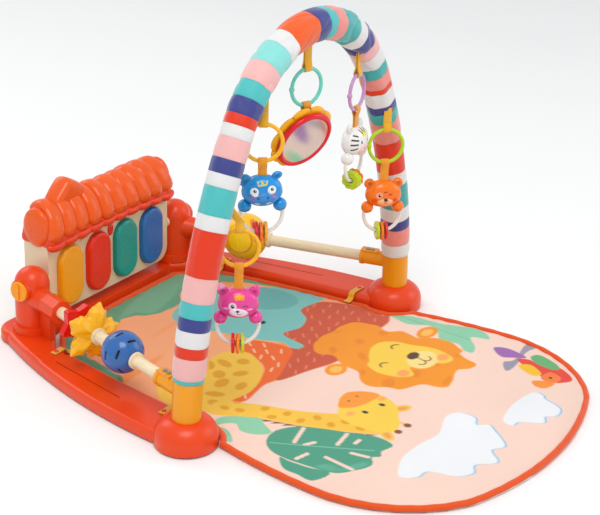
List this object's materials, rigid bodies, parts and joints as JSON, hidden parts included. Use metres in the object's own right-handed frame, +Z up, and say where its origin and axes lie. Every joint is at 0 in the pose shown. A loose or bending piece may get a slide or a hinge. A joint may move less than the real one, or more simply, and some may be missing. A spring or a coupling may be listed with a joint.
{
  "type": "activity play gym",
  "caption": "Low moulded U-shaped frame with a padded arch of hanging toys, a tilting kick piano under a tiled roof, two toy bars with spinners, and a rounded padded play mat.",
  "frame": {"origin": "on the floor, midway between the arch's two feet", "axes": "+Z up, +Y from the mat's rounded front edge towards the piano, +X from the left foot to the right foot, seen from the mat facing the piano"},
  "size_m": [0.5462, 0.7259, 0.4675],
  "materials": {
    "frame_shell": "moulded, satin-gloss",
    "pad_rubber": "matt",
    "screw_steel": "zinc plated",
    "printed_mat": "padded fabric with a printed scene",
    "orange_piping": "woven tape",
    "yellow_webbing": "woven tape",
    "yellow_part": "moulded, satin",
    "arch_tube": "extruded",
    "striped_fabric": "gathered satin sleeve with stripes",
    "cream_bar": "satin, pale wood colour",
    "red_plastic": "gloss",
    "star_yellow": "gloss",
    "ball_blue": "gloss",
    "panel_shell": "moulded, satin",
    "roof_shell": "moulded, satin-gloss",
    "key_yellow": "gloss",
    "key_red": "gloss",
    "key_teal": "gloss",
    "key_blue": "gloss",
    "red_lens": "clear red",
    "speaker_metal": "black",
    "board": "circuit board",
    "dome_rubber": "silicone",
    "cell": "printed can",
    "black_plastic": "matt",
    "ring_turquoise": "gloss",
    "ring_yellow": "gloss",
    "ring_lime": "gloss",
    "ring_lilac": "gloss",
    "mirror_film": "safety mirror",
    "hippo_blue": "gloss",
    "zebra_white": "gloss",
    "bear_orange": "gloss",
    "kitten_pink": "gloss",
    "handle_white": "gloss",
    "bead_mix": "gloss, each disc its own colour"
  },
  "bodies": {
    "frame": {"left_rail": "frame_shell", "right_rail": "frame_shell", "rear_crossbar": "frame_shell", "left_column": "frame_shell", "right_column": "frame_shell", "rubber_pads": "pad_rubber", "frame_screws": "screw_steel", "play_mat": "printed_mat", "mat_piping": "orange_piping", "mat_loops": "yellow_webbing", "left_leg_socket": "yellow_part", "right_leg_socket": "yellow_part", "left_arch_tube": "arch_tube", "right_arch_tube": "arch_tube", "arch_sleeve": "striped_fabric", "left_toy_bar": "cream_bar", "right_toy_bar": "cream_bar", "toy_straps": "yellow_webbing"},
    "piano": {"piano_front": "panel_shell", "piano_rear": "panel_shell", "roof_cover": "roof_shell", "lamp_lens": "red_lens", "speaker": "speaker_metal", "circuit_board": "board", "switch_domes": "dome_rubber", "battery_door": "panel_shell", "batteries": "cell", "piano_screws": "screw_steel"},
    "left_knob": {"left_tilt_knob": "yellow_part"},
    "right_knob": {"right_tilt_knob": "yellow_part"},
    "power_slider": {"power_switch": "black_plastic"},
    "yellow_key": {"key_yellow": "key_yellow"},
    "red_key": {"key_red": "key_red"},
    "teal_key": {"key_teal": "key_teal"},
    "blue_key": {"key_blue": "key_blue"},
    "red_star_spinner": {"red_star": "red_plastic"},
    "yellow_star_spinner": {"yellow_star": "star_yellow"},
    "blue_ball_spinner": {"blue_ball": "ball_blue"},
    "yellow_ball_spinner": {"yellow_ball": "star_yellow"},
    "hippo_link": {"hippo_ring": "ring_yellow"},
    "hippo_toy": {"hippo_head": "hippo_blue", "hippo_handle": "handle_white"},
    "hippo_bead_set": {"hippo_beads": "bead_mix"},
    "zebra_link": {"zebra_ring": "ring_lilac"},
    "zebra_toy": {"zebra_head": "zebra_white", "zebra_handle": "handle_white"},
    "zebra_bead_set": {"zebra_beads": "bead_mix"},
    "bear_link": {"bear_ring": "ring_lime"},
    "bear_toy": {"bear_head": "bear_orange", "bear_handle": "handle_white"},
    "bear_bead_set": {"bear_beads": "bead_mix"},
    "kitten_link": {"kitten_ring": "ring_yellow"},
    "kitten_toy": {"kitten_head": "kitten_pink", "kitten_handle": "handle_white"},
    "kitten_bead_set": {"kitten_beads": "bead_mix"},
    "mirror_link": {"mirror_ring": "ring_turquoise"},
    "mirror_toy": {"mirror_tab": "yellow_webbing", "mirror_petals": "star_yellow", "mirror_rim": "red_plastic", "mirror_glass": "mirror_film"}
  },
  "joints": [
    {"name": "piano_tilt", "type": "hinge", "parent": "frame", "child": "piano", "pos_m": [0, 0.318, 0.078], "axis": [1, 0, 0], "range_deg": [-12, 15]},
    {"name": "left_knob_turn", "type": "hinge", "parent": "frame", "child": "left_knob", "pos_m": [-0.1705, 0.318, 0.078], "axis": [-1, 0, 0], "range_deg": [0, 90]},
    {"name": "right_knob_turn", "type": "hinge", "parent": "frame", "child": "right_knob", "pos_m": [0.1705, 0.318, 0.078], "axis": [1, 0, 0], "range_deg": [0, 90]},
    {"name": "yellow_key_press", "type": "slide", "parent": "piano", "child": "yellow_key", "axis": [0, 1, 0], "range_m": [0, 0.004], "stiffness_N_per_m": 400, "springref_m": -0.001},
    {"name": "red_key_press", "type": "slide", "parent": "piano", "child": "red_key", "axis": [0, 1, 0], "range_m": [0, 0.004], "stiffness_N_per_m": 400, "springref_m": -0.001},
    {"name": "teal_key_press", "type": "slide", "parent": "piano", "child": "teal_key", "axis": [0, 1, 0], "range_m": [0, 0.004], "stiffness_N_per_m": 400, "springref_m": -0.001},
    {"name": "blue_key_press", "type": "slide", "parent": "piano", "child": "blue_key", "axis": [0, 1, 0], "range_m": [0, 0.004], "stiffness_N_per_m": 400, "springref_m": -0.001},
    {"name": "power_slide", "type": "slide", "parent": "piano", "child": "power_slider", "axis": [1, 0, 0], "range_m": [0, 0.006]},
    {"name": "blue_ball_spin", "type": "hinge", "parent": "frame", "child": "blue_ball_spinner", "pos_m": [-0.20149, 0.1225, 0.066], "axis": [0.2639, 0.9646, 0], "continuous": true},
    {"name": "yellow_star_spin", "type": "hinge", "parent": "frame", "child": "yellow_star_spinner", "pos_m": [-0.18433, 0.18519, 0.066], "axis": [0.2639, 0.9646, 0], "continuous": true},
    {"name": "red_star_spin", "type": "hinge", "parent": "frame", "child": "red_star_spinner", "pos_m": [-0.17589, 0.21606, 0.066], "axis": [0.2639, 0.9646, 0], "continuous": true},
    {"name": "yellow_ball_spin", "type": "hinge", "parent": "frame", "child": "yellow_ball_spinner", "pos_m": [0.17668, 0.21317, 0.066], "axis": [-0.2639, 0.9646, 0], "continuous": true},
    {"name": "hippo_link_swing", "type": "hinge", "parent": "frame", "child": "hippo_link", "pos_m": [-0.10801, -0.00975, 0.35889], "axis": [0.6428, -0.766, 0], "range_deg": [-7, 22]},
    {"name": "hippo_toy_swing", "type": "hinge", "parent": "hippo_link", "child": "hippo_toy", "pos_m": [-0.10801, -0.00975, 0.31429], "axis": [0.6428, -0.766, 0], "range_deg": [-12, 22]},
    {"name": "hippo_beads_slide", "type": "hinge", "parent": "hippo_toy", "child": "hippo_bead_set", "pos_m": [-0.10801, -0.00975, 0.25079], "axis": [0.766, 0.6428, 0], "range_deg": [-65, 65]},
    {"name": "zebra_link_swing", "type": "hinge", "parent": "frame", "child": "zebra_link", "pos_m": [0.09982, -0.00505, 0.36682], "axis": [0.9903, 0.1392, 0], "range_deg": [-22, 22]},
    {"name": "zebra_toy_swing", "type": "hinge", "parent": "zebra_link", "child": "zebra_toy", "pos_m": [0.09982, -0.00505, 0.32222], "axis": [0.9903, 0.1392, 0], "range_deg": [-22, 22]},
    {"name": "zebra_beads_slide", "type": "hinge", "parent": "zebra_toy", "child": "zebra_bead_set", "pos_m": [0.09982, -0.00505, 0.25272], "axis": [-0.1392, 0.9903, 0], "range_deg": [-65, 65]},
    {"name": "bear_link_swing", "type": "hinge", "parent": "frame", "child": "bear_link", "pos_m": [0.16029, -0.01597, 0.28136], "axis": [0.7071, -0.7071, 0], "range_deg": [-22, 2]},
    {"name": "bear_toy_swing", "type": "hinge", "parent": "bear_link", "child": "bear_toy", "pos_m": [0.16029, -0.01597, 0.23676], "axis": [0.7071, -0.7071, 0], "range_deg": [-22, 2]},
    {"name": "bear_beads_slide", "type": "hinge", "parent": "bear_toy", "child": "bear_bead_set", "pos_m": [0.16029, -0.01597, 0.16526], "axis": [0.7071, 0.7071, 0], "range_deg": [-65, 65]},
    {"name": "kitten_link_swing", "type": "hinge", "parent": "frame", "child": "kitten_link", "pos_m": [-0.15887, -0.01597, 0.24744], "axis": [0.6157, -0.788, 0], "range_deg": [-14, 18]},
    {"name": "kitten_toy_swing", "type": "hinge", "parent": "kitten_link", "child": "kitten_toy", "pos_m": [-0.15887, -0.01597, 0.20284], "axis": [0.6157, -0.788, 0], "range_deg": [-18, 18]},
    {"name": "kitten_beads_slide", "type": "hinge", "parent": "kitten_toy", "child": "kitten_bead_set", "pos_m": [-0.15887, -0.01597, 0.12834], "axis": [0.788, 0.6157, 0], "range_deg": [-65, 65]},
    {"name": "mirror_link_swing", "type": "hinge", "parent": "frame", "child": "mirror_link", "pos_m": [-0.00735, 0, 0.39831], "axis": [0.9563, -0.2924, 0], "range_deg": [-22, 22]},
    {"name": "mirror_toy_swing", "type": "hinge", "parent": "mirror_link", "child": "mirror_toy", "pos_m": [-0.00735, 0, 0.35371], "axis": [0.9563, -0.2924, 0], "range_deg": [-14, 22]}
  ]
}
